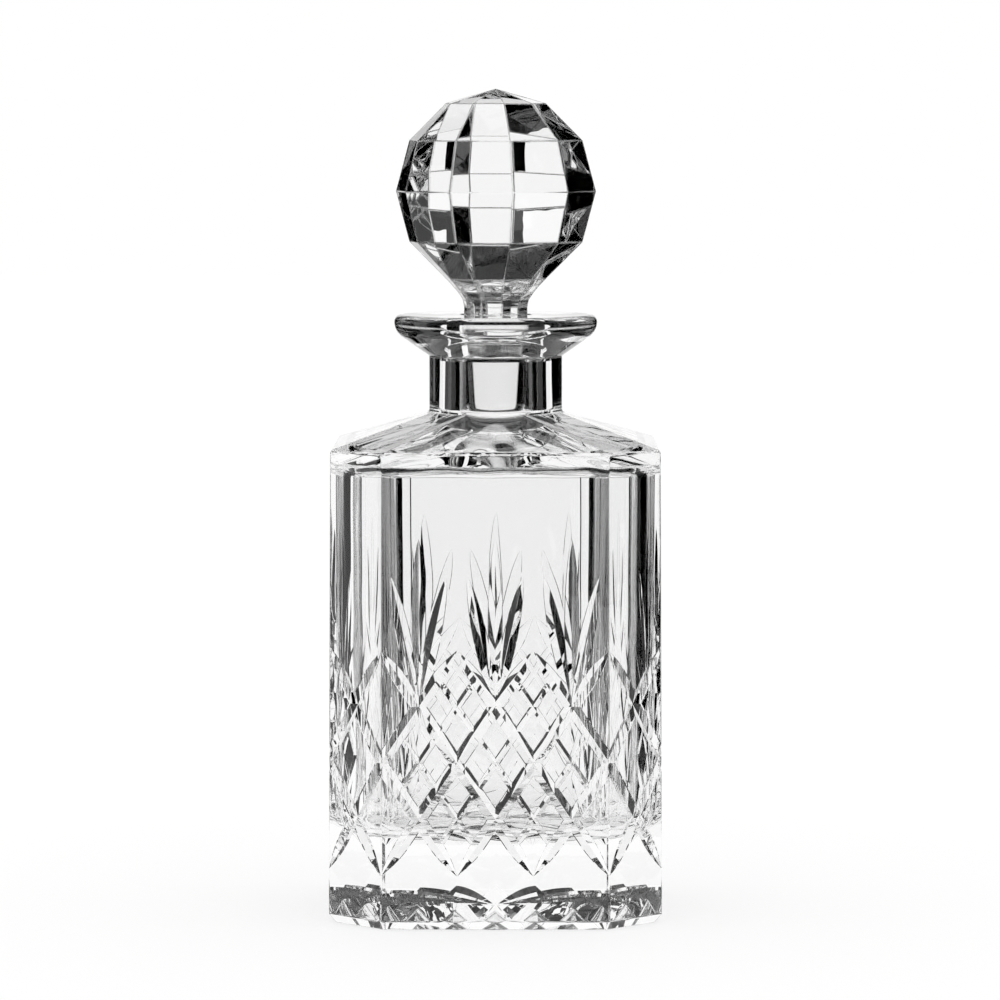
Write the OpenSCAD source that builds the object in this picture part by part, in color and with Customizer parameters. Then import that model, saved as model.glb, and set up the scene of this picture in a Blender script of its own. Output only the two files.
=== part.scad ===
/* [Body] */
// Width across two opposite flat sides, measured at the foot
body_w = 100; // [92:1:108]
// How much each side leans in from the foot to the shoulder
body_draft = 0.7; // [0:0.1:1.2]
// Leg of the 45 degree flat on each vertical corner
corner_leg = 16; // [14:0.5:18]
// Height of the edge where the sides meet the sloping shoulder
shoulder_z = 142.2; // [136:0.2:148]
// Height of the bevel around the foot
foot_h = 2.8; // [1.5:0.1:4]
// How far that bevel leans in
foot_in = 2.2; // [1:0.1:3]

/* [Hollow] */
// Thickness of the side walls just above the inside floor
wall = 7.3; // [6.3:0.1:9]
// How much wider the hollow is at its top than at its floor, on each side
hollow_spread = 0.9; // [0:0.1:1.2]
// Height of the inside floor, over the heavy solid base
floor_z = 26; // [20:0.5:32]
// Radius of the inside vertical corners
hollow_corner_r = 20; // [18:0.5:24]
// Radius between the inside floor and walls
floor_round = 8; // [5:0.5:10]
// Radius between the inside walls and ceiling
ceiling_round = 4; // [3:0.5:6]

/* [Neck and lip] */
// Outer diameter of the neck
neck_d = 40.5; // [38:0.5:44]
// Height at which the shoulder runs into the neck
neck_z = 151.8; // [150:0.2:154]
// Outer diameter of the lip
lip_d = 61.8; // [56:0.2:66]
// Height of the lip's top
lip_top_z = 181.4; // [180:0.2:184]
// Radius on the upper edge of the lip
lip_top_round = 2.2; // [1.4:0.1:3]
// Radius on the lower edge of the lip
lip_under_round = 5.5; // [4.5:0.1:6.5]
// Slope of the lip's underside, from level
lip_slope = 35.5; // [30:0.5:42]
// Radius of the blown bore, which clears the plug
blown_bore_r = 11.2; // [10.8:0.1:12]
// Height of the ground seat that the plug fits, at the mouth of the bore
seat_h = 10.5; // [8:0.5:14]

/* [Stopper] */
// Diameter of the faceted ball, across its corners
ball_d = 61.4; // [56:0.2:66]
// Height of the ball's centre with the stopper home
ball_z = 218.8; // [216:0.2:222]
// Number of flat facets around the ball
ball_sides = 10; // [8:1:12]
// Angle at which the stopper is turned in the neck
stopper_turn = 9.5; // [0:0.5:36]
// Diameter of the plug at the top of the taper
plug_d = 20.4; // [18:0.2:22]
// Length of the tapered plug below the lip
plug_len = 30.4; // [26:0.2:32]
// Gap between plug and bore, on the radius
plug_gap = 0.06; // [0.03:0.01:0.1]

/* [Cutting] */
// Width of the mitres that frame the diamonds
mitre_w = 4.2; // [3:0.1:5]
// Width of the fine grooves that quarter the diamonds
fine_w = 2; // [1.2:0.1:2.6]
// Width of the leaf cuts in the fans
leaf_w = 4.4; // [3:0.1:5]
// Height of the lowest points of the lattice
lattice_z = 16.4; // [14:0.2:20]
// Height of one lattice row, half a diamond
row_h = 16.85; // [15.5:0.05:17.5]
// Length of the tall leaf in each fan
tall_leaf = 50; // [44:1:54]
// Length of the leaves beside it
side_leaf = 39.5; // [34:0.5:44]
// Angle between neighbouring leaves
leaf_angle = 12; // [9:0.5:14]
// Number of cuts in the star under the foot
star_rays = 20; // [12:2:24]

/* [Hidden] */

glass = [0.86, 0.90, 0.92, 0.55];
glass_fn = 96;
hollow_fn = 32;
eps = 0.01;

// Slope of a V cut: half its width over its depth. The star is cut deeper
cut_slope = 1.8;
star_slope = 1.25;
// The cutters stand this far out of the glass
cutter_lift = 1.2;
// A cut's tips start this far outside the surface
tip_skim = 0.04;
// A cut that crosses a vertical edge runs on past it by this much
edge_overrun = 2.5;
// Flat steps that stand for the wheel's curve at each tip
tip_steps = 3;
// Length of the tips of a long mitre or groove
mitre_tip = 11;
fine_tip = 4;

half_w = body_w / 2;
side_tilt = atan(body_draft / (shoulder_z - foot_h));
corner_dist = (body_w - corner_leg) / sqrt(2);
neck_r = neck_d / 2;
lip_r = lip_d / 2;

// The lattice is six columns wide on a side and two on a corner
side_columns = 6;
corner_columns = 2;
lattice_rows = 4;
side_column_w = (body_w - 2 * corner_leg) / side_columns;
corner_column_w = corner_leg * sqrt(2) / corner_columns;
// The fans stand on the third row
fan_row = 3;

// Bore of the neck: a ground taper at the mouth, and a wider blown bore below it
bore_taper = 1 / 29;
mouth_chamfer = 0.8;
bore_mouth_z = lip_top_z - 1;
bore_mouth_r = plug_d / 2 + plug_gap;
seat_foot_z = bore_mouth_z - seat_h;
seat_foot_r = bore_mouth_r - seat_h * bore_taper;
// Height of the sloping ring between the seat and the blown bore
seat_step_h = 2.5;
bore_foot_z = 148;
// The bore widens by this radius where it opens into the hollow
bore_flare = 3;
flare_r = blown_bore_r + bore_flare;
flare_z = bore_foot_z - bore_flare;
// Where the flare's curve starts and ends, in degrees round its centre
flare_from = 260;
flare_to = 180;

// The hollow's ceiling starts this far below the shoulder's edge and rises towards the bore
ceiling_drop = 4.2;
// The curve between wall and ceiling ends at this angle from level
ceiling_turn = 72;
hollow_top_disc_h = 1;

// Radius of the sweep between shoulder and neck
neck_sweep_r = 2.5;
// The neck starts this far inside the end of that sweep
neck_inset = 0.5;

// Flat steps of small and large rounded edges
round_steps = 5;
lip_steps = 8;

// Where the lip's sloping underside begins on its lower round, and where it meets the neck
lip_under_end = [lip_r - lip_under_round * (1 - sin(lip_slope)),
    lip_top_z - lip_top_round - lip_under_round * cos(lip_slope)];
lip_root_z = lip_under_end[1] - (lip_under_end[0] - neck_r) * tan(lip_slope);

// The shallow recess under the foot, and the star cut in it
recess_r = 43;
recess_h = 3.2;
recess_ball_r = (pow(recess_r, 2) + pow(recess_h, 2)) / (2 * recess_h);
star_inner_r = 1.5;
star_outer_r = recess_r - 1;
star_w = 12;
// The star's cuts widen all the way out and end in tips of this length
star_tip = 3;
star_lift = 7;

ball_r = ball_d / 2;
plug_end_round = 4.5;
plug_top_z = bore_mouth_z;
plug_end_z = lip_top_z - plug_len;
stem_r = 9.25;
// Concave curve from the stem out to the ball, as [radius, depth below the ball's centre]
stem_curve = [[10.2, 32.8], [11.7, 30.6], [13.6, 28.4]];
stem_top_drop = 35;
ball_tip_rise = 0.3;
plug_shoulder_h = 1.2;

// Steps of a cut's tip from its point inwards, as [distance, share of the full depth]
function tip_run(tip) =
    [for (k = [0 : tip_steps]) let (t = k / tip_steps) [tip * t, 1 - pow(1 - t, 2)]];

// Steps of a whole cut; an end with no tip runs on past the edge of the glass
function cut_steps(length, tip_a, tip_b) =
    let (
        start = tip_a > 0 ? tip_run(tip_a) : [[-edge_overrun, 1]],
        end = tip_b > 0 ? [for (s = tip_run(tip_b)) [length - s[0], s[1]]] : [[length + edge_overrun, 1]]
    )
    concat(start, [for (k = [len(end) - 1 : -1 : 0]) if (end[k][0] > tip_a + eps) end[k]]);

// One wheel cut along +Z in a surface that faces +X
module cut(length, width, tip_a, tip_b, slope = cut_slope, lift = cutter_lift) {
    depth = width / 2 / slope;
    steps = cut_steps(length, tip_a, tip_b);
    last = 3 * (len(steps) - 1);
    points = [
        for (s = steps)
            let (keel = tip_skim - s[1] * (depth + tip_skim), half = (lift - keel) * slope)
            each [[keel, 0, s[0]], [lift, -half, s[0]], [lift, half, s[0]]]
    ];
    faces = concat(
        [[0, 1, 2], [last, last + 2, last + 1]],
        [for (k = [0 : 3 : last - 3], side = [[0, 1], [1, 2], [2, 0]])
            [k + side[0], k + 3 + side[0], k + 3 + side[1], k + side[1]]]
    );
    polyhedron(points, faces);
}

// A cut between two lattice points, given as [column, row], columns counted from the middle
module lattice_cut(a, b, column_w, width, tip_a, tip_b) {
    across = (b[0] - a[0]) * column_w;
    up = (b[1] - a[1]) * row_h;
    translate([0, a[0] * column_w, lattice_z - foot_h + a[1] * row_h])
        rotate([-atan2(across, up), 0, 0])
            cut(norm([across, up]), width, tip_a, tip_b);
}

// All diagonals of a lattice, both ways, clipped to a rectangle that is inset from its outline
module diagonals(columns, column_w, inset, first, width, tip) {
    for (c = [first : 2 : columns - 1 - 2 * inset], hand = [-1, 1]) {
        start = max(inset, c + inset);
        end = min(columns - inset, lattice_rows - inset + c);
        open_a = inset == 0 && start > c;
        open_b = inset == 0 && end - c < lattice_rows;
        lattice_cut(
            [hand * (start - columns / 2), start - c],
            [hand * (end - columns / 2), end - c],
            column_w, width, open_a ? 0 : tip, open_b ? 0 : tip
        );
    }
}

module fan(column) {
    for (leaf = [-1 : 1]) {
        leaf_len = leaf == 0 ? tall_leaf : side_leaf;
        translate([0, column * side_column_w, lattice_z - foot_h + fan_row * row_h])
            rotate([leaf * leaf_angle, 0, 0])
                cut(leaf_len, leaf_w, leaf_len / 2, leaf_len / 2);
    }
}

module side_cuts() {
    diagonals(side_columns, side_column_w, 0, -2, mitre_w, mitre_tip);
    diagonals(side_columns, side_column_w, 0.5, -1, fine_w, fine_tip);
    for (column = [-2 : 2 : 2])
        fan(column);
}

module corner_cuts() {
    diagonals(corner_columns, corner_column_w, 0, -2, mitre_w, mitre_tip);
}

module on_face(angle, distance) {
    rotate([0, 0, angle])
        translate([distance, 0, foot_h])
            rotate([0, -side_tilt, 0])
                children();
}

module star() {
    star_len = star_outer_r - star_inner_r;
    slope = atan(recess_h / recess_r);
    for (k = [0 : star_rays - 1])
        rotate([0, 0, k * 360 / star_rays])
            translate([0, 0, recess_h])
                rotate([0, 90 + slope, 0])
                    translate([0, 0, star_inner_r])
                        cut(star_len, star_w, star_len - star_tip, star_tip, star_slope, star_lift);
}

// Outline of two opposite faces with their foot bevels and shoulder slopes
module face_pair(angle, distance) {
    rise = (neck_z - shoulder_z) / (distance - body_draft - neck_r);
    right = [[distance - foot_in, 0], [distance, foot_h], [distance - body_draft, shoulder_z]];
    left = [for (k = [len(right) - 1 : -1 : 0]) [-right[k][0], right[k][1]]];
    rotate([90, 0, angle])
        linear_extrude(height = 2 * body_w, center = true)
            polygon(concat(right, [[0, neck_z + neck_r * rise]], left));
}

module body_block() {
    intersection() {
        face_pair(0, half_w);
        face_pair(90, half_w);
        face_pair(45, corner_dist);
        face_pair(135, corner_dist);
    }
}

function arc(centre, radius, from, to, steps) =
    [for (k = [0 : steps]) let (a = from + (to - from) * k / steps)
        centre + radius * [cos(a), sin(a)]];

module neck_and_lip() {
    edge_z = lip_top_z - lip_top_round;
    rotate_extrude($fn = glass_fn)
        polygon(concat(
            [[0, neck_z - neck_sweep_r]],
            [[neck_r + neck_sweep_r - neck_inset, neck_z - neck_sweep_r]],
            arc([neck_r + neck_sweep_r, neck_z + neck_sweep_r], neck_sweep_r, 225, 180, round_steps),
            [[neck_r, lip_root_z]],
            arc([lip_r - lip_under_round, edge_z], lip_under_round, lip_slope - 90, 0, lip_steps),
            arc([lip_r - lip_top_round, edge_z], lip_top_round, 90 / lip_steps, 90, lip_steps - 1),
            [[0, lip_top_z]]
        ));
}

module hollow() {
    post_r = hollow_corner_r;
    top_r = post_r + hollow_spread;
    reach = half_w - wall - post_r;
    ceiling_z = shoulder_z - ceiling_drop;
    round_z = ceiling_z - ceiling_round;
    hull() {
        for (x = [-1, 1], y = [-1, 1])
            translate([x * reach, y * reach, 0])
                rotate_extrude($fn = hollow_fn)
                    polygon(concat(
                        [[0, floor_z]],
                        arc([post_r - floor_round, floor_z + floor_round], floor_round, -90, 0, round_steps),
                        arc([top_r - ceiling_round, round_z], ceiling_round, 0, ceiling_turn, round_steps),
                        [[0, ceiling_z]]
                    ));
        translate([0, 0, flare_z - hollow_top_disc_h])
            cylinder(r = flare_r, h = hollow_top_disc_h, $fn = hollow_fn);
    }
}

// The neck's bore from the hollow up: flare, blown bore, ground seat and chamfered mouth
module bore() {
    rotate_extrude($fn = glass_fn)
        polygon(concat(
            [[0, flare_z - bore_flare], [flare_r + bore_flare * cos(flare_from), flare_z - bore_flare]],
            arc([flare_r, bore_foot_z], bore_flare, flare_from, flare_to, round_steps),
            [
                [blown_bore_r, seat_foot_z - seat_step_h],
                [seat_foot_r, seat_foot_z],
                [bore_mouth_r, bore_mouth_z],
                [bore_mouth_r + mouth_chamfer, lip_top_z],
                [bore_mouth_r + mouth_chamfer, lip_top_z + cutter_lift],
                [0, lip_top_z + cutter_lift]
            ]
        ));
}

module foot_recess() {
    translate([0, 0, recess_h - recess_ball_r])
        sphere(r = recess_ball_r, $fn = glass_fn);
}

module bottle() {
    color(glass)
        difference() {
            union() {
                body_block();
                neck_and_lip();
            }
            hollow();
            bore();
            foot_recess();
            star();
            for (angle = [0 : 90 : 270]) {
                on_face(angle, half_w)
                    side_cuts();
                on_face(angle + 45, corner_dist)
                    corner_cuts();
            }
        }
}

// Corners of the faceted head, as [radius, height] of each ring from the stem up
function head_rings() =
    let (stem_corner_r = stem_r / cos(180 / ball_sides))
    concat(
        [[stem_corner_r, plug_top_z], [stem_corner_r, ball_z - stem_top_drop]],
        [for (point = stem_curve) [point[0], ball_z - point[1]]],
        [for (latitude = [-60 : 30 : 60]) [ball_r * cos(latitude), ball_z + ball_r * sin(latitude)]]
    );

module head() {
    rings = head_rings();
    count = len(rings);
    tip_z = ball_z + ball_r + ball_tip_rise;
    points = concat(
        [for (ring = rings, k = [0 : ball_sides - 1])
            let (a = (k + 0.5) * 360 / ball_sides) [ring[0] * cos(a), ring[0] * sin(a), ring[1]]],
        [[0, 0, tip_z]]
    );
    top = (count - 1) * ball_sides;
    faces = concat(
        [[for (k = [0 : ball_sides - 1]) k]],
        [for (ring = [0 : count - 2], k = [0 : ball_sides - 1])
            let (low = ring * ball_sides, next = (k + 1) % ball_sides)
            [low + k, low + ball_sides + k, low + ball_sides + next, low + next]],
        [for (k = [0 : ball_sides - 1]) [top + k, count * ball_sides, top + (k + 1) % ball_sides]]
    );
    rotate([0, 0, stopper_turn])
        polyhedron(points, faces);
}

module plug() {
    top_r = plug_d / 2;
    end_r = top_r - (plug_top_z - plug_end_z) * bore_taper;
    rotate_extrude($fn = glass_fn)
        polygon(concat(
            [[0, plug_end_z]],
            arc([end_r - plug_end_round, plug_end_z + plug_end_round], plug_end_round, -90, 0, round_steps),
            [[top_r, plug_top_z], [stem_r, plug_top_z + plug_shoulder_h], [0, plug_top_z + plug_shoulder_h]]
        ));
}

module stopper() {
    color(glass)
        union() {
            plug();
            head();
        }
}

bottle();
stopper();
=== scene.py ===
import math

import bmesh
import bpy
from mathutils import Matrix, Vector


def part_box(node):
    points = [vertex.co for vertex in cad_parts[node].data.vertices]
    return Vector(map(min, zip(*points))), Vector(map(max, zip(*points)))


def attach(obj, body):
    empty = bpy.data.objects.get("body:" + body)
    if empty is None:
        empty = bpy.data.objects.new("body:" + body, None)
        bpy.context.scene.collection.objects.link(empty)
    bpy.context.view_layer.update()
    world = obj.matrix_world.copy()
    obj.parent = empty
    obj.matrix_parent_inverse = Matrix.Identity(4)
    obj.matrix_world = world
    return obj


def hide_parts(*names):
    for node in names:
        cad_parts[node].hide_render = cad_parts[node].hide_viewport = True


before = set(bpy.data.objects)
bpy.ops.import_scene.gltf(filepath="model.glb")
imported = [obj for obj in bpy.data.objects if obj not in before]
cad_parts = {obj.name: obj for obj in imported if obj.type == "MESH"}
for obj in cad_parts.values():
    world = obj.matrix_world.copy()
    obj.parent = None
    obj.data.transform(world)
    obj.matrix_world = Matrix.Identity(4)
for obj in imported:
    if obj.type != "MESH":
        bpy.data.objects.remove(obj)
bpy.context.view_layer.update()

# Shapes are worked out in millimetres, as in the CAD, and become metres in their mesh
MM = 0.001
bottle_low, bottle_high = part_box("bottle")
stopper_low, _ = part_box("stopper")

# Body. A side leans in by DRAFT from the foot's bevel to the shoulder
BODY_W = (bottle_high.x - bottle_low.x) / MM
HALF_W = BODY_W / 2
DRAFT = 0.7
CORNER_LEG = 16
CORNER_DIST = (BODY_W - CORNER_LEG) / math.sqrt(2)
SHOULDER_Z = 142.2
FOOT_H = 2.8
FOOT_IN = 2.2
EDGE_ROUND = 0.4
SHOULDER_ROUND = 1.1
SIDE_TILT = math.atan(DRAFT / (SHOULDER_Z - FOOT_H))

# Hollow. It is wider at its top than at its floor by the share HOLLOW_SPREAD, and wavy inside
WALL = 7.3
FLOOR_Z = 26
HOLLOW_CORNER_R = 20
HOLLOW_SPREAD = 0.022
FLOOR_ROUND = 8
CEILING_ROUND = 4
CEILING_Z = SHOULDER_Z - 4.2
BLOWN_WAVE = 0.12
CORNER_WAVE = 0.3
FLOOR_WAVE = 0.6
CEILING_WAVE = 0.3
FLOOR_WAVE_REACH = 26

# Neck, lip and bore. The bore has a ground taper at its mouth, a step below that, then a wider
# blown part, and it flares into the hollow
NECK_R = 20.25
NECK_Z = 151.8
NECK_FILLET = 1.8
LIP_R = 30.9
LIP_TOP_Z = bottle_high.z / MM
LIP_TOP_ROUND = 2.2
LIP_UNDER_ROUND = 5.5
LIP_SLOPE = math.radians(35.5)
PLUG_R = 10.2
PLUG_GAP = 0.06
BORE_TAPER = 1 / 29
BORE_MOUTH_R = PLUG_R + PLUG_GAP
BORE_MOUTH_Z = LIP_TOP_Z - 1
GROUND_DEPTH = 10.5
BLOWN_BORE_R = 11.2
SEAT_LEDGE = 0.8
SEAT_LEDGE_DROP = 0.9
SEAT_STEP_H = 2.5
BLOWN_BORE_DROP = 8
BORE_FOOT_Z = 148
BORE_FLARE = 3
MOUTH_CHAMFER = 0.8

# Stopper
BALL_R = 30.7
BALL_Z = 218.8
BALL_SIDES = 10
FACET_LATITUDES = (-60, -30, 0, 30, 60)
TIP_RISE = 0.3
STOPPER_TURN = math.radians(9.5)
PLUG_END_Z = stopper_low.z / MM
PLUG_END_ROUND = 4.5
PLUG_SHOULDER_H = 1.2
STEM_R = 9.25
# The stem's flare from its foot up: radius, and depth below the ball's centre
FLARE_FOOT = 35
FLARE = ((10.2, 32.8), (11.7, 30.6), (13.6, 28.4))
# Width and height of the fine ridge that stands along each edge of a facet
ARRIS_W = 0.25
ARRIS_H = 0.04

# Cutting. A slope is half a cut's width over its depth, and a higher point makes its tips sharper.
# Each cut has a short steep lip along both sides. A cutter stands out of the glass by its lift
CUT_SLOPE = 2.1
CUT_LIP = 0.26
FULL_LIP_W = 4
CUT_LIFT = 1.2
LIP_SLOPE_IN_CUT = 0.8
STAR_SLOPE = 1.25
MITRE_POINT = 1.1
LEAF_POINT = 0.75
STAR_POINT = 1.2
MITRE_TIP = 12
FINE_TIP = 4
TIP_STEPS = 12
EDGE_OVERRUN = 2.5
MITRE_W = 4.2
FINE_W = 2.0
LEAF_W = 4.4
LATTICE_Z = 16.4
ROW_H = 16.85
SIDE_COLUMNS = 6
CORNER_COLUMNS = 2
LATTICE_ROWS = 4
FAN_ROW = 3
TALL_LEAF = 50
SIDE_LEAF = 39.5
LEAF_ANGLE = math.radians(12)
STAR_RAYS = 20
STAR_W = 12
STAR_TIP = 3
STAR_LIFT = 7
STAR_INNER_R = 1.5
STAR_MARGIN = 1
RECESS_R = 43
RECESS_H = 3.2

# Crystal: refraction, roughness where polished and where worn, share of wear on the edges,
# height of the wear at the foot, and the faint swell of the polish. Scales are per metre
CRYSTAL_IOR = 1.545
POLISHED = 0.004
WORN = 0.3
EDGE_WEAR = 0.2
FOOT_WEAR_H = 0.5
PATCH_SCALE = 260
SWELL_SCALE = 70
SWELL_DEPTH = 0.02
SMOOTH_ANGLE = 12

# Least width or spacing that a mesh needs
THIN = 0.01


# ---------------------------------------------------------------- mesh helpers

def new_object(name, points, faces):
    mesh = bpy.data.meshes.new(name)
    mesh.from_pydata([Vector(p) * MM for p in points], [], faces)
    mesh.update()
    obj = bpy.data.objects.new(name, mesh)
    bpy.context.scene.collection.objects.link(obj)
    return obj


def loft(name, rings, bottom=None, top=None):
    """Rings of equal length from the bottom up, closed by a point or by a flat face at each end."""
    count = len(rings[0])
    points = [p for ring in rings for p in ring]
    faces = []
    for low in range(0, count * (len(rings) - 1), count):
        for k in range(count):
            after = (k + 1) % count
            faces.append((low + k, low + after, low + count + after, low + count + k))
    last = count * (len(rings) - 1)
    if bottom is None:
        faces.append(tuple(range(count - 1, -1, -1)))
    else:
        points.append(bottom)
        faces += [((k + 1) % count, k, len(points) - 1) for k in range(count)]
    if top is None:
        faces.append(tuple(range(last, last + count)))
    else:
        points.append(top)
        faces += [(last + k, last + (k + 1) % count, len(points) - 1) for k in range(count)]
    return new_object(name, points, faces)


def circle(radius, z, count, turn=0.0):
    angles = [turn + 2 * math.pi * k / count for k in range(count)]
    return [(radius * math.cos(a), radius * math.sin(a), z) for a in angles]


def revolve(name, outline, count=192):
    """Turns (radius, height) points around Z; the ends of the outline close on the axis."""
    rings = [circle(r, z, count) for r, z in outline]
    return loft(name, rings, (0, 0, outline[0][1]), (0, 0, outline[-1][1]))


def arc(centre, radius, start, end, steps):
    """Points of an arc in the (radius, height) plane, angles in degrees."""
    angles = [math.radians(start + (end - start) * k / steps) for k in range(steps + 1)]
    return [(centre[0] + radius * math.cos(a), centre[1] + radius * math.sin(a)) for a in angles]


def join(name, parts):
    """One object from several that don't touch each other."""
    mesh = bpy.data.meshes.new(name)
    bm = bmesh.new()
    for part in parts:
        bm.from_mesh(part.data)
        bpy.data.objects.remove(part)
    bm.to_mesh(mesh)
    bm.free()
    obj = bpy.data.objects.new(name, mesh)
    bpy.context.scene.collection.objects.link(obj)
    return obj


def combine(target, tool, operation):
    step = target.modifiers.new(tool.name, "BOOLEAN")
    step.operation = operation
    step.solver = "MANIFOLD"
    step.object = tool


def round_edges(obj, radius, level, level_radius):
    """Rounds every edge, with another radius on those that lie level at the given height."""
    weights = obj.data.attributes.new("bevel_weight_edge", "FLOAT", "EDGE")
    for edge in obj.data.edges:
        heights = [obj.data.vertices[v].co.z / MM for v in edge.vertices]
        on_level = all(abs(z - level) < THIN for z in heights)
        weights.data[edge.index].value = 1 if on_level else radius / level_radius
    step = obj.modifiers.new("rounding", "BEVEL")
    step.limit_method = "WEIGHT"
    step.width = level_radius * MM
    step.segments = 4
    settle(obj, [])


def settle(target, tools):
    """Applies the modifiers of a target and removes the tools that they used."""
    graph = bpy.context.evaluated_depsgraph_get()
    mesh = bpy.data.meshes.new_from_object(target.evaluated_get(graph))
    target.modifiers.clear()
    target.data = mesh
    for tool in tools:
        bpy.data.objects.remove(tool)


# ---------------------------------------------------------------- cutting wheel

def tip_run(tip, point):
    """Distance along a cut's tip and the share of the full width there, as a wheel lifts out."""
    shares = [k / TIP_STEPS for k in range(TIP_STEPS + 1)]
    return [(tip * t, (1 - (1 - t) ** 2) ** point) for t in shares]


def cut(length, width, tip_a, tip_b, place, slope=CUT_SLOPE, lift=CUT_LIFT, point=MITRE_POINT):
    """One wheel cut along +Z in a surface that faces +X, moved by the matrix place.

    Its section is a shallow V between two short steep lips. A higher point makes its tips sharper.
    An end without a tip runs on past the edge of the surface.
    """
    run = tip_run(tip_a, point) if tip_a else [(-EDGE_OVERRUN, 1)]
    if tip_b:
        far_tip = [(length - s, share) for s, share in reversed(tip_run(tip_b, point))]
        run += [(s, share) for s, share in far_tip if s > tip_a + THIN]
    else:
        run.append((length + EDGE_OVERRUN, 1))
    rings = []
    for s, share in run:
        half = width / 2 * share + THIN
        lip = CUT_LIP * share * min(width / FULL_LIP_W, 1)
        flank = half - lip * LIP_SLOPE_IN_CUT
        floor = -lip - flank / slope
        top = half + lift * LIP_SLOPE_IN_CUT
        section = ((floor, 0), (-lip, -flank), (lift, -top), (lift, top), (-lip, flank))
        rings.append([place @ Vector((x, y, s)) for x, y in section])
    return loft("cut", rings)


def on_face(angle, distance):
    """Local frame of a flat side: X outwards, Y across and Z up from the foot's bevel."""
    return (
        Matrix.Rotation(angle, 4, "Z")
        @ Matrix.Translation((distance, 0, FOOT_H))
        @ Matrix.Rotation(-SIDE_TILT, 4, "Y")
    )


def lattice_cut(face, a, b, column_w, width, tip_a, tip_b):
    """A cut between two lattice points, given as (column, row), columns counted from the middle."""
    across = (b[0] - a[0]) * column_w
    up = (b[1] - a[1]) * ROW_H
    place = (
        face
        @ Matrix.Translation((0, a[0] * column_w, LATTICE_Z - FOOT_H + a[1] * ROW_H))
        @ Matrix.Rotation(-math.atan2(across, up), 4, "X")
    )
    return cut(math.hypot(across, up), width, tip_a, tip_b, place)


def diagonals(face, columns, column_w, hand, inset, first, width, tip):
    """The diagonals of a lattice that lean one way, clipped to a rectangle inside its outline."""
    made = []
    c = first
    while c <= columns - 1 - 2 * inset:
        start = max(inset, c + inset)
        end = min(columns - inset, LATTICE_ROWS - inset + c)
        open_a = inset == 0 and start > c
        open_b = inset == 0 and end - c < LATTICE_ROWS
        made.append(lattice_cut(
            face,
            (hand * (start - columns / 2), start - c),
            (hand * (end - columns / 2), end - c),
            column_w, width, 0 if open_a else tip, 0 if open_b else tip,
        ))
        c += 2
    return made


def leaves(face, lean):
    """The leaves of the three fans of a side that lean one way: -1, 0 or 1."""
    column_w = (BODY_W - 2 * CORNER_LEG) / SIDE_COLUMNS
    length = SIDE_LEAF if lean else TALL_LEAF
    made = []
    for column in (-2, 0, 2):
        place = (
            face
            @ Matrix.Translation((0, column * column_w, LATTICE_Z - FOOT_H + FAN_ROW * ROW_H))
            @ Matrix.Rotation(lean * LEAF_ANGLE, 4, "X")
        )
        made.append(cut(length, LEAF_W, length / 2, length / 2, place, point=LEAF_POINT))
    return made


def star_ray(k):
    """One cut of the star, which widens outwards over the recess under the foot."""
    slope = math.atan(RECESS_H / RECESS_R)
    length = RECESS_R - STAR_MARGIN - STAR_INNER_R
    place = (
        Matrix.Rotation(2 * math.pi * k / STAR_RAYS, 4, "Z")
        @ Matrix.Translation((0, 0, RECESS_H))
        @ Matrix.Rotation(math.pi / 2 + slope, 4, "Y")
        @ Matrix.Translation((0, 0, STAR_INNER_R))
    )
    inner_tip = length - STAR_TIP
    return cut(length, STAR_W, inner_tip, STAR_TIP, place, STAR_SLOPE, STAR_LIFT, STAR_POINT)


def all_cutters():
    """Cutters in groups, each group made of cuts that don't touch each other."""
    sides = [on_face(k * math.pi / 2, HALF_W) for k in range(4)]
    corners = [on_face((k + 0.5) * math.pi / 2, CORNER_DIST) for k in range(4)]
    side_column_w = (BODY_W - 2 * CORNER_LEG) / SIDE_COLUMNS
    corner_column_w = CORNER_LEG * math.sqrt(2) / CORNER_COLUMNS
    groups = []
    lattices = (
        (sides, SIDE_COLUMNS, side_column_w, 0, -2, MITRE_W, MITRE_TIP),
        (corners, CORNER_COLUMNS, corner_column_w, 0, -2, MITRE_W, MITRE_TIP),
        (sides, SIDE_COLUMNS, side_column_w, 0.5, -1, FINE_W, FINE_TIP),
    )
    for faces, columns, column_w, inset, first, width, tip in lattices:
        for hand in (-1, 1):
            groups.append([
                made for face in faces
                for made in diagonals(face, columns, column_w, hand, inset, first, width, tip)
            ])
    for lean in (-1, 0, 1):
        groups.append([made for face in sides for made in leaves(face, lean)])
    groups += [[star_ray(k)] for k in range(STAR_RAYS)]
    return [join("cutter", group) for group in groups]


# ---------------------------------------------------------------- bottle

def octagon(side, corner, z):
    """The body's eight-cornered section, from how far its sides and corner flats stand out."""
    points = []
    for k in range(8):
        a, b = k * math.pi / 4, (k + 1) * math.pi / 4
        near, far = (side, corner) if k % 2 == 0 else (corner, side)
        across = math.sin(b - a)
        points.append((
            (near * math.sin(b) - far * math.sin(a)) / across,
            (far * math.cos(a) - near * math.cos(b)) / across,
            z,
        ))
    return points


def shoulder_distance(distance, z):
    """How far a side's shoulder slope stands from the axis at a height."""
    edge = distance - DRAFT
    return edge - (edge - NECK_R) * (z - SHOULDER_Z) / (NECK_Z - SHOULDER_Z)


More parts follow.
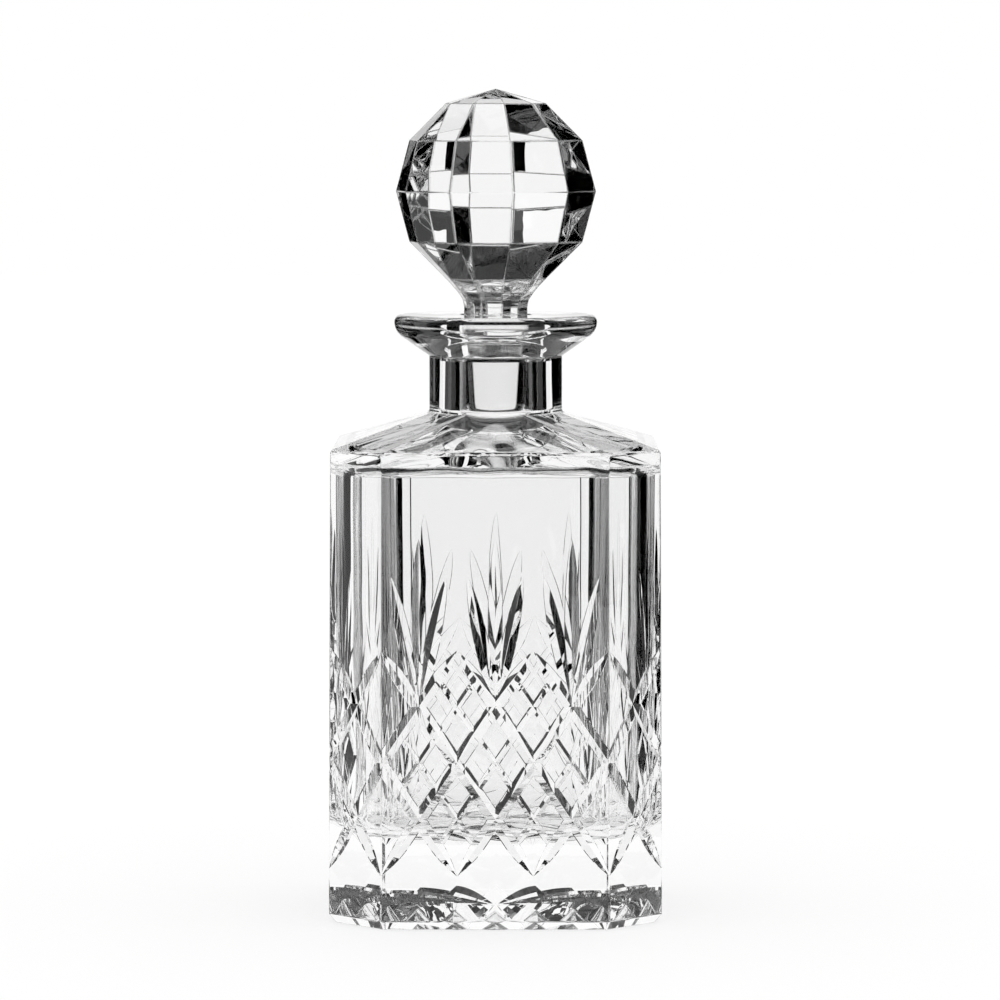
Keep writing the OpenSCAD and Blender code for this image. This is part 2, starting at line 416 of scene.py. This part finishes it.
def body_block():
    """The body without hollow or cuts, up to a little inside the neck."""
    neck_overlap = 1.5
    top = NECK_Z + neck_overlap
    obj = loft("bottle_crystal", [
        octagon(HALF_W - FOOT_IN, CORNER_DIST - FOOT_IN, 0),
        octagon(HALF_W, CORNER_DIST, FOOT_H),
        octagon(HALF_W - DRAFT, CORNER_DIST - DRAFT, SHOULDER_Z),
        octagon(shoulder_distance(HALF_W, top), shoulder_distance(CORNER_DIST, top), top),
    ])
    round_edges(obj, EDGE_ROUND, SHOULDER_Z, SHOULDER_ROUND)
    return obj


def neck_and_lip():
    """The neck and the flared lip, from just inside the body to the lip's flat top."""
    sunk, inset = 3, 0.5
    bend_r, bend_drop = 0.9, 0.3
    slope = math.atan((NECK_Z - SHOULDER_Z) / (HALF_W - DRAFT - NECK_R))
    fillet_x = NECK_R + NECK_FILLET
    fillet_z = NECK_Z - NECK_FILLET * math.tan(slope) + NECK_FILLET / math.cos(slope)
    under = (LIP_R - LIP_UNDER_ROUND, LIP_TOP_Z - LIP_TOP_ROUND)
    under_end = -90 + math.degrees(LIP_SLOPE)
    over = (LIP_R - LIP_TOP_ROUND, LIP_TOP_Z - LIP_TOP_ROUND)
    under_arc = arc(under, LIP_UNDER_ROUND, under_end, 0, 18)
    root_z = under_arc[0][1] - (under_arc[0][0] - NECK_R) * math.tan(LIP_SLOPE)
    bend = (NECK_R + bend_r, root_z - bend_drop)
    outline = (
        [(fillet_x - inset, NECK_Z - sunk)]
        + arc((fillet_x, fillet_z), NECK_FILLET, 270 - math.degrees(slope), 180, 12)
        + arc(bend, bend_r, 180, 90 + math.degrees(LIP_SLOPE), 8)
        + under_arc
        + arc(over, LIP_TOP_ROUND, 0, 90, 12)[1:]
    )
    return revolve("neck_and_lip", outline, 256)


def rounded_square(half, corner, angle):
    """Distance from the axis to a square with round corners, in the given direction."""
    a = abs((angle + math.pi / 4) % (math.pi / 2) - math.pi / 4)
    if half * math.tan(a) <= half - corner:
        return half / math.cos(a)
    along = (half - corner) * (math.cos(a) + math.sin(a))
    return along + math.sqrt(max(corner ** 2 - (half - corner) ** 2 * (1 - math.sin(2 * a)), 0))


def hollow_outline(wall_r):
    """The hollow's (radius, height) outline in one direction, from the floor to the bore's foot."""
    floor_steps, wall_steps, slope_steps = 14, 30, 5
    ceiling_turn = 72
    points = [((wall_r - FLOOR_ROUND) * k / floor_steps, FLOOR_Z) for k in range(1, floor_steps)]
    points += arc((wall_r - FLOOR_ROUND, FLOOR_Z + FLOOR_ROUND), FLOOR_ROUND, -90, 0, 16)
    wall_top = CEILING_Z - CEILING_ROUND
    wall_low = FLOOR_Z + FLOOR_ROUND
    wall_h = wall_top - wall_low
    points += [(wall_r, wall_low + wall_h * k / wall_steps) for k in range(1, wall_steps)]
    points += arc((wall_r - CEILING_ROUND, wall_top), CEILING_ROUND, 0, ceiling_turn, 12)
    start = points[-1]
    end = (BLOWN_BORE_R + BORE_FLARE, BORE_FOOT_Z - BORE_FLARE)
    for k in range(1, slope_steps):
        points.append(tuple(p + (q - p) * k / slope_steps for p, q in zip(start, end)))
    points += arc((end[0], BORE_FOOT_Z), BORE_FLARE, 270, 180, 12)
    return points


def blown(radius, angle, z):
    """A point of the hollow's outline, spread towards the top and uneven as blown glass is.

    It is uneven most round the floor, where the glass is heavy, and up the corners.
    """
    fade_r = 20
    t = min(max((z - FLOOR_Z) / (CEILING_Z - FLOOR_Z), 0), 1)
    # Shares from 0 to 1 of the waves near the floor, near the ceiling and up the corners
    low = max(0, 1 - (z - FLOOR_Z) / FLOOR_WAVE_REACH) ** 2
    high = max(0, 1 - abs(z - CEILING_Z) / CEILING_ROUND)
    corner = abs(math.sin(2 * angle)) ** 3 * max(0, 1 - 1.3 * t)
    # The waves themselves, each with a few different lengths so that they don't look regular
    x, y = radius * math.cos(angle), radius * math.sin(angle)
    body = math.sin(3 * angle + z / 9) * math.sin(z / 14 + 1) + math.sin(7 * angle - z / 21) * 0.5
    ripple = math.sin(x / 3.3 + 1.7 * math.sin(y / 6.3))
    ripple *= math.sin(y / 3.9 + 1.3 * math.sin(x / 7.9))
    column = math.sin(z / 5 + 2 * math.sin(z / 17) + 9 * angle) * math.sin(13 * angle)
    shift = BLOWN_WAVE * body + CORNER_WAVE * corner * column + FLOOR_WAVE * low * ripple
    radius = radius * (1 + HOLLOW_SPREAD * t) + shift * min(radius / fade_r, 1)
    lift = (FLOOR_WAVE * low + CEILING_WAVE * high) * ripple
    return radius * math.cos(angle), radius * math.sin(angle), z + lift


def hollow_and_bore():
    """The inside of the bottle as one solid tool, from the floor to above the lip."""
    count = 256
    angles = [2 * math.pi * k / count for k in range(count)]
    outlines = [hollow_outline(rounded_square(HALF_W - WALL, HOLLOW_CORNER_R, a)) for a in angles]
    rings = []
    for level in zip(*outlines):
        rings.append([blown(radius, angle, z) for (radius, z), angle in zip(level, angles)])
    above = 1.0
    ground_z = BORE_MOUTH_Z - GROUND_DEPTH
    ground_r = BORE_MOUTH_R - GROUND_DEPTH * BORE_TAPER
    bore = [
        (BLOWN_BORE_R, ground_z - BLOWN_BORE_DROP),
        (BLOWN_BORE_R, ground_z - SEAT_STEP_H),
        (ground_r + SEAT_LEDGE, ground_z - SEAT_LEDGE_DROP),
        (ground_r, ground_z),
        (BORE_MOUTH_R, BORE_MOUTH_Z),
        (BORE_MOUTH_R + MOUTH_CHAMFER, LIP_TOP_Z),
        (BORE_MOUTH_R + MOUTH_CHAMFER * 2, LIP_TOP_Z + above),
    ]
    rings += [circle(r, z, count) for r, z in bore]
    return loft("hollow", rings, (0, 0, FLOOR_Z), (0, 0, LIP_TOP_Z + above))


def foot_recess():
    """The shallow dome under the foot, as a tool that runs on past the dome's rim."""
    past_rim, near_axis = 1.02, 89.9
    ball_r = (RECESS_R ** 2 + RECESS_H ** 2) / (2 * RECESS_H)
    edge = math.degrees(math.asin(RECESS_R / ball_r))
    outline = arc((0, RECESS_H - ball_r), ball_r, 90 - edge * past_rim, near_axis, 24)
    outline.insert(0, (outline[0][0], -2))
    return revolve("recess", outline)


def make_bottle():
    bottle = body_block()
    neck = neck_and_lip()
    tools = [neck, hollow_and_bore(), foot_recess()] + all_cutters()
    combine(bottle, neck, "UNION")
    for tool in tools[1:]:
        combine(bottle, tool, "DIFFERENCE")
    settle(bottle, tools)
    return bottle


# ---------------------------------------------------------------- stopper

def sink_facets(obj):
    """Leaves a fine raised arris along every edge, as grinding and polishing the facets does."""
    bm = bmesh.new()
    bm.from_mesh(obj.data)
    facets = [f for f in bm.faces if len(f.verts) < BALL_SIDES]
    bmesh.ops.inset_individual(bm, faces=facets, thickness=ARRIS_W * MM, depth=-ARRIS_H * MM)
    bm.to_mesh(obj.data)
    bm.free()


def head():
    """The stem, its flare and the faceted ball, all with the same number of sides."""
    stem_r = STEM_R / math.cos(math.pi / BALL_SIDES)
    rings = [(stem_r, BORE_MOUTH_Z), (stem_r, BALL_Z - FLARE_FOOT)]
    rings += [(radius, BALL_Z - depth) for radius, depth in FLARE]
    for latitude in FACET_LATITUDES:
        a = math.radians(latitude)
        rings.append((BALL_R * math.cos(a), BALL_Z + BALL_R * math.sin(a)))
    turn = STOPPER_TURN + math.pi / BALL_SIDES
    tip = (0, 0, BALL_Z + BALL_R + TIP_RISE)
    obj = loft("head", [circle(r, z, BALL_SIDES, turn) for r, z in rings], None, tip)
    sink_facets(obj)
    return obj


def make_stopper():
    end_r = PLUG_R - (BORE_MOUTH_Z - PLUG_END_Z) * BORE_TAPER
    end_centre = (end_r - PLUG_END_ROUND, PLUG_END_Z + PLUG_END_ROUND)
    round_end = arc(end_centre, PLUG_END_ROUND, -90, 0, 16)
    outline = round_end + [(PLUG_R, BORE_MOUTH_Z), (STEM_R, BORE_MOUTH_Z + PLUG_SHOULDER_H)]
    stopper = revolve("stopper_crystal", outline, 256)
    tool = head()
    combine(stopper, tool, "UNION")
    settle(stopper, [tool])
    return stopper


# ---------------------------------------------------------------- finish

def polish(obj):
    """Smooth curved faces, crisp edges, and flat faces that stay flat."""
    for polygon in obj.data.polygons:
        polygon.use_smooth = True
    obj.data.set_sharp_from_angle(angle=math.radians(SMOOTH_ANGLE))
    weighted = obj.modifiers.new("weighted", "WEIGHTED_NORMAL")
    weighted.keep_sharp = True
    weighted.weight = 100
    settle(obj, [])


def add(tree, kind, inputs=(), **settings):
    """Adds a node, sets its properties, and gives its inputs either values or links."""
    node = tree.nodes.new(kind)
    for key, value in settings.items():
        setattr(node, key, value)
    for key, value in dict(inputs).items():
        if isinstance(value, bpy.types.NodeSocket):
            tree.links.new(value, node.inputs[key])
        else:
            node.inputs[key].default_value = value
    return node


def arris(tree, radius):
    """Normals across each edge: the facet's own, and the one that a rounded edge would have."""
    flat = add(tree, "ShaderNodeNewGeometry").outputs["Normal"]
    round_over = add(tree, "ShaderNodeBevel", {"Radius": radius * MM}, samples=6).outputs["Normal"]
    return flat, round_over


def vector_math(tree, operation, inputs, output=0):
    return add(tree, "ShaderNodeVectorMath", inputs, operation=operation).outputs[output]


def ramp(tree, value, start, end, low, high):
    """A value that goes from low to high as the given one goes from start to end."""
    return add(tree, "ShaderNodeMapRange", {
        "Value": value, "From Min": start, "From Max": end, "To Min": low, "To Max": high,
    }).outputs["Result"]


def noise(tree, place, scale, detail):
    inputs = {"Vector": place, "Scale": scale, "Detail": detail}
    return add(tree, "ShaderNodeTexNoise", inputs).outputs["Fac"]


def ground_edges(tree, flat, round_over, strength):
    """Turns light aside beside every edge, which draws the fine dark line of a ground arris."""
    away = vector_math(tree, "SUBTRACT", {0: flat, 1: round_over})
    scaled = vector_math(tree, "SCALE", {0: away, "Scale": strength})
    turned = vector_math(tree, "ADD", {0: flat, 1: scaled})
    return vector_math(tree, "NORMALIZE", {0: turned})


def worn(tree, flat, round_over, place):
    """Share of wear from 0 to 1: along the edges and on the rim of the foot, in patches."""
    facing = vector_math(tree, "DOT_PRODUCT", {0: flat, 1: round_over}, "Value")
    on_facet, on_edge = 0.99, 0.8
    edge = ramp(tree, facing, on_facet, on_edge, 0, EDGE_WEAR)
    height = add(tree, "ShaderNodeSeparateXYZ", {0: place}).outputs["Z"]
    foot = ramp(tree, height, FOOT_WEAR_H * MM, 0, 0, 1)
    patches = ramp(tree, noise(tree, place, PATCH_SCALE, 4), 0.42, 0.62, 0.1, 1)
    either = add(tree, "ShaderNodeMath", {0: edge, 1: foot}, operation="MAXIMUM").outputs[0]
    return add(tree, "ShaderNodeMath", {0: either, 1: patches}, operation="MULTIPLY").outputs[0]


def crystal(name, edge_radius, edge_strength):
    """Clear lead crystal: polished, faintly wavy, with ground edges that are a little worn."""
    material = bpy.data.materials.new(name)
    material.use_nodes = True
    tree = material.node_tree
    shader = tree.nodes["Principled BSDF"]
    shader.inputs["Base Color"].default_value = (1, 1, 1, 1)
    shader.inputs["Transmission Weight"].default_value = 1
    shader.inputs["IOR"].default_value = CRYSTAL_IOR
    place = add(tree, "ShaderNodeTexCoord").outputs["Object"]
    flat, round_over = arris(tree, edge_radius)
    wear = worn(tree, flat, round_over, place)
    swell = noise(tree, place, SWELL_SCALE, 2)
    surface = {"Height": swell, "Distance": SWELL_DEPTH * MM, "Strength": 1}
    if edge_strength:
        surface["Normal"] = ground_edges(tree, flat, round_over, edge_strength)
    normal = add(tree, "ShaderNodeBump", surface).outputs["Normal"]
    tree.links.new(ramp(tree, wear, 0, 1, POLISHED, WORN), shader.inputs["Roughness"])
    tree.links.new(normal, shader.inputs["Normal"])
    return material


# ---------------------------------------------------------------- studio

def make_camera():
    data = bpy.data.cameras.new("camera")
    data.sensor_width = 36
    data.lens = 190.8
    camera = bpy.data.objects.new("camera", data)
    bpy.context.scene.collection.objects.link(camera)
    place = Vector((5.2, -1611, 245)) * MM
    aim = Vector((1.3, 0, 124.8)) * MM
    camera.location = place
    camera.rotation_euler = (aim - place).to_track_quat("-Z", "Y").to_euler()
    bpy.context.scene.camera = camera


def plain(name, colour, glow=0.0):
    material = bpy.data.materials.new(name)
    material.use_nodes = True
    shader = material.node_tree.nodes["Principled BSDF"]
    shader.inputs["Base Color"].default_value = (*colour, 1)
    shader.inputs["Roughness"].default_value = 0.9
    shader.inputs["Specular IOR Level"].default_value = 0
    shader.inputs["Emission Color"].default_value = (1, 1, 1, 1)
    shader.inputs["Emission Strength"].default_value = glow
    return material


def make_floor():
    reach = 6000
    corners = [(-reach, -reach, 0), (reach, -reach, 0), (reach, reach, 0), (-reach, reach, 0)]
    floor = new_object("floor", corners, [(0, 1, 2, 3)])
    floor.data.materials.append(plain("floor", (0.25, 0.25, 0.25), 0.76))


def make_card(name, points):
    card = new_object(name, points, [tuple(range(len(points)))])
    card.data.materials.append(plain("flag", (0, 0, 0)))
    card.visible_camera = False
    card.visible_shadow = False
    card.visible_diffuse = False


def make_flags():
    """A tent of black cards close round the glass, which gives it its dark lines.

    It has a wide high opening behind the object and a narrow lower one to its left. At the front
    right it stands further back, over the lit floor. A black roof closes it.
    """
    near_r, far_r, roof_z, step = 250, 950, 520, 5
    # Middle and half width in degrees from +X, and height
    openings = ((90, 20, 320), (180, 10, 235))
    set_back = (285, 345)
    for start in range(0, 360, step):
        middle = start + step / 2
        heights = [height for centre, half, height in openings if abs(middle - centre) < half]
        foot = max(heights, default=0)
        radius = far_r if set_back[0] < middle < set_back[1] else near_r
        near, far = [
            (radius * math.cos(math.radians(a)), radius * math.sin(math.radians(a)))
            for a in (start, start + step)
        ]
        make_card(f"flag_{start}", [(*near, foot), (*far, foot), (*far, roof_z), (*near, roof_z)])
    corners = ((-1, -1), (1, -1), (1, 1), (-1, 1))
    make_card("flag_roof", [(x * far_r, y * far_r, roof_z) for x, y in corners])


def make_world():
    world = bpy.data.worlds.new("studio")
    world.use_nodes = True
    world.node_tree.nodes["Background"].inputs["Color"].default_value = (1, 1, 1, 1)
    bpy.context.scene.world = world
    scene = bpy.context.scene
    scene.view_settings.view_transform = "Standard"
    scene.cycles.max_bounces = 32
    scene.cycles.transmission_bounces = 32
    scene.cycles.glossy_bounces = 32


make_camera()
make_world()
make_floor()
make_flags()

bottle = make_bottle()
stopper = make_stopper()
# Each piece, the radius of its ground edges, and how strongly they turn light aside
for piece, edge_radius, edge_strength in ((bottle, 0.15, 0), (stopper, 0.8, 1.2)):
    polish(piece)
    piece.data.materials.clear()
    piece.data.materials.append(crystal(piece.name, edge_radius, edge_strength))

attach(bottle, "bottle")
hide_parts("bottle")
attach(stopper, "stopper")
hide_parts("stopper")
